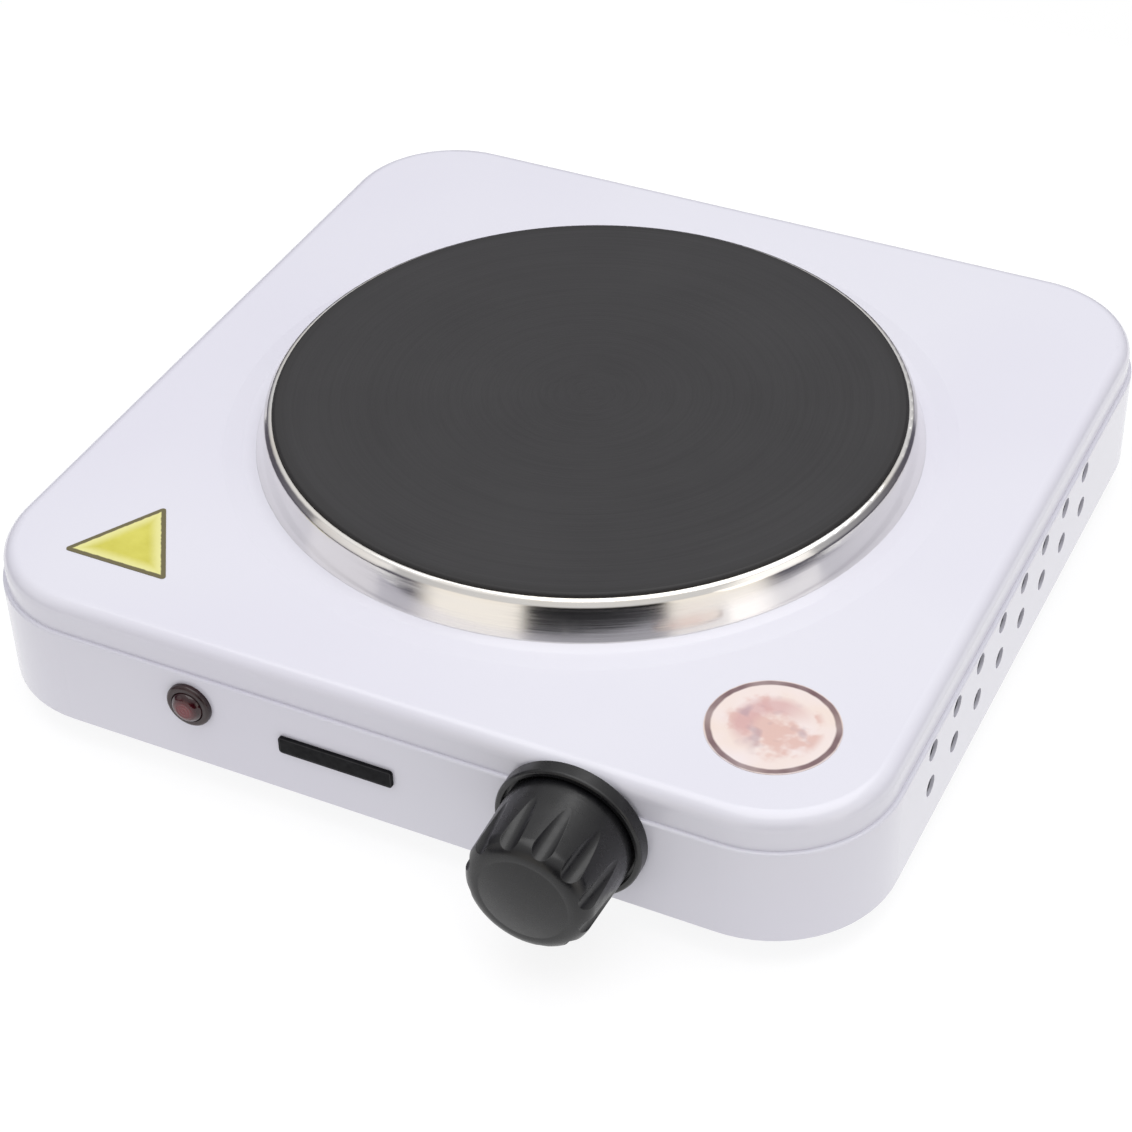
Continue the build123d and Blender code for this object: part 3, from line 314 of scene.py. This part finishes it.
def lens_red():
    """Clear red plastic with moulded rings behind its dome, painted darker towards its edge as painted
    shade.
    """
    finish = Finish("lens_red", (0.16, 0.006, 0.012), 0.12, Transmission_Weight=0.2, Coat_Weight=0.25,
                    Coat_Roughness=0.08)
    low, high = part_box("lamp_lens")
    from_middle = finish.math("SUBTRACT", finish.axis(0), (low.x + high.x) / 2)
    from_level = finish.math("SUBTRACT", finish.axis(2), (low.z + high.z) / 2)
    radius = finish.math("SQRT", finish.math("ADD", finish.math("MULTIPLY", from_middle, from_middle),
                                             finish.math("MULTIPLY", from_level, from_level)))
    # Painted shade: the lens is painted bright red in its middle, fading to near black towards its edge,
    # where the dome's sides turn away from the light.
    finish.paint(finish.mixed(finish.levels(radius, 1.0 * MM, 3.6 * MM, smooth=True),
                              (0.17, 0.005, 0.012), (0.030, 0.003, 0.006)))
    finish.polish(finish.noise(500, 2), 0.3, 0.7, 0.08, 0.16)
    finish.bump(finish.math("SINE", finish.math("MULTIPLY", radius, tau / (0.9 * MM))), 0.05 * MM, 0.4)
    return finish.material


def bulb_glass():
    """Smoky glass of the small glow lamp."""
    finish = Finish("bulb_glass", (0.93, 0.82, 0.72), 0.05, Transmission_Weight=0.85, IOR=1.47)
    finish.polish(finish.noise(900, 2), 0.3, 0.7, 0.03, 0.09)
    smoke = finish.levels(finish.noise(350, 2), 0.35, 0.7)
    finish.paint(finish.mixed(smoke, (0.95, 0.85, 0.76), (0.8, 0.6, 0.5)))
    return finish.material


def badge_black():
    """Dull black name strip with a faint border line and no lettering."""
    finish = Finish("badge_black", (0.006, 0.006, 0.007), 0.6, Specular_IOR_Level=0.12)
    low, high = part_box("name_badge")
    half_width = (high.x - low.x) / 2
    half_height = (high.z - low.z) / 2
    from_middle = finish.math("ABSOLUTE", finish.math("SUBTRACT", finish.axis(0), low.x + half_width))
    from_level = finish.math("ABSOLUTE", finish.math("SUBTRACT", finish.axis(2), low.z + half_height))
    edge = finish.math("MINIMUM", finish.math("SUBTRACT", half_width, from_middle),
                       finish.math("SUBTRACT", half_height, from_level))
    line = finish.band(edge, 0.3 * MM, 0.42 * MM, 0.04 * MM)
    worn = finish.levels(finish.noise(300, 3), 0.35, 0.7)
    ground = finish.mixed(worn, (0.003, 0.003, 0.004), (0.007, 0.007, 0.009))
    finish.paint(finish.mixed(line, ground, (0.05, 0.05, 0.055)))
    finish.polish(finish.noise(800, 3), 0.3, 0.7, 0.5, 0.7)
    finish.bump(finish.math("MULTIPLY", line, -1.0), 0.05 * MM, 0.5)
    return finish.material


def edge_distance(finish, start, end):
    """Distance inside the straight edge from start to end, for corners listed anticlockwise."""
    along = Vector(end) - Vector(start)
    along.normalize()
    inward = Vector((-along.y, along.x))
    offset = inward.dot(Vector(start))
    across = finish.math("MULTIPLY", finish.axis(0), inward.x)
    upwards = finish.math("MULTIPLY", finish.axis(1), inward.y)
    return finish.math("SUBTRACT", finish.math("ADD", across, upwards), offset)


def label_yellow():
    """Yellow three-cornered sticker with a dark olive outline, paler just inside it."""
    finish = Finish("label_yellow", (0.68, 0.64, 0.08), 0.35, Coat_Weight=0.3)
    corners = TRIANGLE_CORNERS
    sides = [edge_distance(finish, start, end) for start, end in zip(corners, corners[1:] + corners[:1])]
    edge = finish.math("MINIMUM", finish.math("MINIMUM", sides[0], sides[1]), sides[2])
    ragged = finish.math("ADD", edge, finish.levels(finish.noise(900, 2), 0.3, 0.7, -0.08 * MM, 0.08 * MM))
    pale = finish.levels(ragged, 1.2 * MM, 4.5 * MM, smooth=True)
    patches = finish.levels(finish.noise(160, 3), 0.3, 0.7)
    mottled = finish.mixed(patches, (0.55, 0.51, 0.055), (0.64, 0.60, 0.095))
    ground = finish.mixed(pale, (0.73, 0.70, 0.28), mottled)
    line = finish.levels(ragged, TRIANGLE_LINE - 0.12 * MM, TRIANGLE_LINE + 0.12 * MM, 1.0, 0.0)
    finish.paint(finish.mixed(line, ground, (0.12, 0.10, 0.035)))
    finish.polish(finish.noise(500, 3), 0.3, 0.7, 0.28, 0.42)
    finish.bump(finish.noise(700, 3), 0.01 * MM, 0.4)
    return finish.material


def label_cream():
    """Cream round sticker: a maroon ring line, a soft arc and blotches, with no symbol."""
    finish = Finish("label_cream", (0.85, 0.76, 0.72), 0.35, Coat_Weight=0.3)
    low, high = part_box("round_label")
    centre = (low + high) / 2
    radius, angle = finish.around(centre.x, centre.y)
    waver = finish.levels(finish.noise(160, 2), 0.3, 0.7, -0.15 * MM, 0.15 * MM)
    wavering = finish.math("ADD", radius, waver)
    patches = finish.levels(finish.noise(70, 2), 0.3, 0.7)
    ground = finish.mixed(patches, (0.77, 0.64, 0.57), (0.78, 0.69, 0.69))
    blotches = finish.levels(finish.noise(130, 3), 0.44, 0.60, smooth=True)
    inside = finish.levels(radius, 9.5 * MM, 12.0 * MM, 0.75, 0.0, smooth=True)
    ground = finish.mixed(finish.math("MULTIPLY", blotches, inside), ground, (0.62, 0.37, 0.32))
    one_side = finish.levels(finish.math("COSINE", finish.math("ADD", angle, 0.6)), -0.6, 0.5, 0.75, 0.0)
    arc = finish.math("MULTIPLY", finish.band(radius, 4.2 * MM, 9.0 * MM, 1.2 * MM), one_side)
    ground = finish.mixed(arc, ground, (0.58, 0.34, 0.34))
    marks = finish.math("MULTIPLY", finish.levels(finish.noise(230, 1), 0.58, 0.72, 0.0, 0.45),
                        finish.levels(radius, 8.0 * MM, 10.5 * MM, 1.0, 0.0))
    ground = finish.mixed(marks, ground, (0.33, 0.24, 0.30))
    line = finish.band(wavering, DISC_LINE[0], DISC_LINE[1], 0.2 * MM)
    faded = finish.math("MULTIPLY", line, finish.levels(finish.noise(120, 2), 0.3, 0.7, 0.7, 1.0))
    finish.paint(finish.mixed(faded, ground, (0.13, 0.06, 0.07)))
    finish.polish(finish.noise(500, 3), 0.3, 0.7, 0.28, 0.42)
    finish.bump(finish.noise(700, 3), 0.01 * MM, 0.4)
    return finish.material


def make_materials():
    """Every material by the name of the slot that it fills."""
    made = {
        "white_enamel": white_enamel(), "zinc_sheet": zinc_sheet(), "foot_rubber": foot_rubber(),
        "plate_iron": plate_iron(), "ring_stainless": ring_stainless(), "lens_red": lens_red(),
        "bulb_glass": bulb_glass(), "badge_black": badge_black(), "label_yellow": label_yellow(),
        "label_cream": label_cream(),
    }
    families = ((plated_metal, PLATED_METALS), (fired_ceramic, CERAMICS), (moulded_plastic, PLASTICS))
    for make, kinds in families:
        for name, settings in kinds.items():
            made[name] = make(name, *settings)
    for name, colour in LEAD_COLOURS.items():
        shade = tuple(part * 0.8 for part in colour)
        made[name] = moulded_plastic(name, shade, colour, 0.38, 0.55, 2200, 0.02 * MM)
    return made


def dress_nodes(materials):
    """Gives each CAD node the material of its own slot."""
    for part in frame["record"]["subparts"]:
        piece = frame["nodes"][part["node"]]
        for holder in piece.material_slots:
            holder.material = materials[part["material_slot"]]


# ---- studio ----
def add_floor():
    """Small glowing table of white paper; beyond its edges the surround shows in reflections."""
    finish = Finish("floor_paper", (0.9, 0.9, 0.9), 0.9, Specular_IOR_Level=0.1,
                    Emission_Color=(1, 1, 1, 1), Emission_Strength=FLOOR_GLOW)
    clouds = finish.levels(finish.noise(3, 2), 0.3, 0.7)
    finish.paint(finish.mixed(clouds, (0.20, 0.20, 0.205), (0.22, 0.22, 0.225)))
    half = FLOOR_HALF
    mesh = bpy.data.meshes.new("studio_floor")
    corners = [(-half, -half, 0), (half, -half, 0), (half, half, 0), (-half, half, 0)]
    mesh.from_pydata(corners, [], [(0, 1, 2, 3)])
    floor = bpy.data.objects.new("studio_floor", mesh)
    mesh.materials.append(finish.material)
    bpy.context.scene.collection.objects.link(floor)


def add_light(name, place, size, power, colour):
    light = bpy.data.lights.new(name, "AREA")
    light.shape = "RECTANGLE"
    light.size, light.size_y = size
    light.energy = power
    light.color = colour
    holder = bpy.data.objects.new(name, light)
    towards = Vector(LIGHT_AIM) - Vector(place)
    turned = towards.to_track_quat("-Z", "Y").to_matrix().to_4x4()
    holder.matrix_world = Matrix.Translation(place) @ turned
    bpy.context.scene.collection.objects.link(holder)


def add_sky():
    """Surround: pale overhead, dark at the horizon, with a dark card low in front between two warm ones."""
    world = bpy.data.worlds.new("studio_surround")
    world.use_nodes = True
    sky = Pattern(world.node_tree, "Generated")
    height = sky.axis(2)
    turn = radians(CAMERA_TURN)
    facing = sky.math("ADD", sky.math("MULTIPLY", sky.axis(0), sin(turn)),
                      sky.math("MULTIPLY", sky.axis(1), -cos(turn)))
    level = sky.math("SQRT", sky.math("SUBTRACT", 1.0, sky.math("MULTIPLY", height, height)))
    facing = sky.math("DIVIDE", facing, level)
    in_front = sky.levels(facing, *DARK_FRONT, smooth=True)
    low_down = sky.levels(height, *CARDS_TOP, 1.0, 0.0, smooth=True)
    pale = sky.mixed(sky.levels(height, 0.0, 0.9, smooth=True), HORIZON, ZENITH)
    beside = sky.levels(facing, *WARM_FRONT, smooth=True)
    warmed = sky.mixed(sky.math("MULTIPLY", beside, low_down), pale, WARM_CARD)
    shaded = sky.mixed(sky.math("MULTIPLY", in_front, low_down), warmed, DARK_CARD)
    seen = sky.mixed(sky.add("ShaderNodeLightPath").outputs["Is Camera Ray"], shaded, (1, 1, 1))
    sky.feed(world.node_tree.nodes["Background"], Color=seen, Strength=1.0)
    bpy.context.scene.world = world


def add_camera():
    turn, rise, roll = radians(CAMERA_TURN), radians(CAMERA_RISE), radians(CAMERA_ROLL)
    back = Vector((sin(turn) * cos(rise), -cos(turn) * cos(rise), sin(rise)))
    level = Vector((cos(turn), sin(turn), 0))
    upward = back.cross(level)
    right = level * cos(roll) + upward * sin(roll)
    up = upward * cos(roll) - level * sin(roll)
    place = Vector((*CAMERA_AIM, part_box("housing")[0].z)) + back * CAMERA_DISTANCE
    data = bpy.data.cameras.new("camera")
    data.lens = CAMERA_LENS
    data.clip_end = 100
    holder = bpy.data.objects.new("camera", data)
    holder.matrix_world = Matrix.Translation(place) @ Matrix((right, up, back)).transposed().to_4x4()
    bpy.context.scene.collection.objects.link(holder)
    bpy.context.scene.camera = holder


def add_studio():
    scene = bpy.context.scene
    scene.view_settings.view_transform = "Standard"
    add_floor()
    add_sky()
    for light in LIGHTS:
        add_light(*light)


add_camera()
add_studio()
dress_nodes(make_materials())
